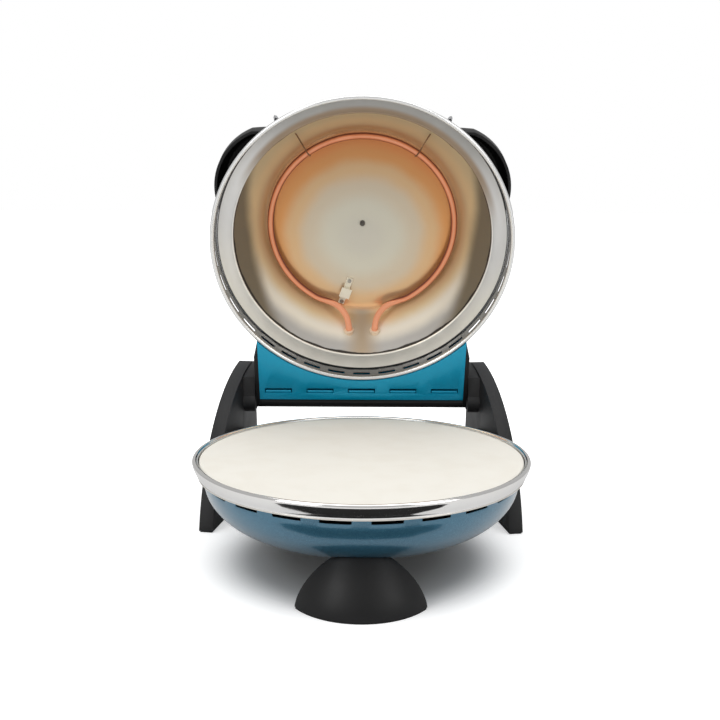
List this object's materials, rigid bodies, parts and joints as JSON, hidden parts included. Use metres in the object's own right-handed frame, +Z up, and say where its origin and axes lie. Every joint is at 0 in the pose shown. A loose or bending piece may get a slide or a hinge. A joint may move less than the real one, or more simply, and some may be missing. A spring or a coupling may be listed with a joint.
{
  "type": "electric pizza maker",
  "caption": "Round countertop pizza cooker with a baking stone in a bowl-shaped base and a domed lid on a rear hinge, shown with the lid open.",
  "frame": {"origin": "middle of the footprint, on the table", "axes": "+Z up, -Y towards the front where the user stands, X across"},
  "size_m": [0.341, 0.409, 0.4503],
  "materials": {
    "blue_paint": "metallic gloss",
    "polished_trim": "polished",
    "pan_metal": "satin",
    "dish_metal": "satin",
    "steel_hardware": "satin",
    "hot_element": "matte",
    "dark_element": "matte",
    "black_plastic": "satin",
    "grey_plastic": "satin",
    "rubber_pad": "matte",
    "pale_insulator": "matte",
    "bronze_bush": "satin",
    "friction_fibre": "matte",
    "red_lens": "gloss",
    "baking_stone": "matte"
  },
  "bodies": {
    "base": {"lower_bowl": "blue_paint", "base_trim_ring": "polished_trim", "base_reflector_pan": "pan_metal", "pan_screws": "steel_hardware", "lower_element": "dark_element", "lower_element_bushes": "pale_insulator", "lower_element_clips": "steel_hardware", "terminal_block": "pale_insulator", "front_foot": "black_plastic", "front_foot_screws": "steel_hardware", "front_foot_pad": "rubber_pad", "left_leg": "black_plastic", "right_leg": "black_plastic", "leg_pads": "rubber_pad", "rear_crossbar": "black_plastic", "crossbar_screws": "steel_hardware", "leg_screws": "steel_hardware", "hinge_pins": "steel_hardware", "friction_washers": "friction_fibre", "cord_gland": "black_plastic"},
    "stone": {"baking_stone": "baking_stone"},
    "lid": {"lid_dome": "blue_paint", "lid_trim_ring": "polished_trim", "lid_rim_pan": "pan_metal", "reflector_dish": "dish_metal", "upper_element": "hot_element", "upper_element_bushes": "pale_insulator", "element_hangers": "steel_hardware", "bulb_bracket": "steel_hardware", "bracket_screws": "steel_hardware", "dish_centre_screw": "steel_hardware", "dome_studs": "steel_hardware", "hinge_box": "blue_paint", "hinge_frame": "black_plastic", "hinge_bushes": "bronze_bush", "hinge_box_screws": "steel_hardware", "left_handle": "black_plastic", "right_handle": "black_plastic", "handle_screws": "steel_hardware", "thermostat_body": "pale_insulator", "timer_body": "pale_insulator", "pilot_lamp": "red_lens"},
    "thermostat_control": {"thermostat_shaft": "steel_hardware", "thermostat_knob": "black_plastic", "thermostat_grip": "grey_plastic"},
    "timer_control": {"timer_shaft": "steel_hardware", "timer_knob": "black_plastic", "timer_grip": "grey_plastic"}
  },
  "joints": [
    {"name": "lid_hinge", "type": "hinge", "parent": "base", "child": "lid", "pos_m": [0, 0.15096, 0.115], "axis": [1, 0, 0], "range_deg": [0, 70]},
    {"name": "stone_lift", "type": "slide", "parent": "base", "child": "stone", "axis": [0, 0, 1], "range_m": [0, 0.012]},
    {"name": "thermostat_turn", "type": "hinge", "parent": "lid", "child": "thermostat_control", "pos_m": [-0.08573, 0.10995, 0.41334], "axis": [-0.2007, 0.8133, 0.5461], "range_deg": [0, 270]},
    {"name": "timer_turn", "type": "hinge", "parent": "lid", "child": "timer_control", "pos_m": [0.08573, 0.10995, 0.41334], "axis": [0.2007, 0.8133, 0.5461], "range_deg": [0, 300]}
  ]
}
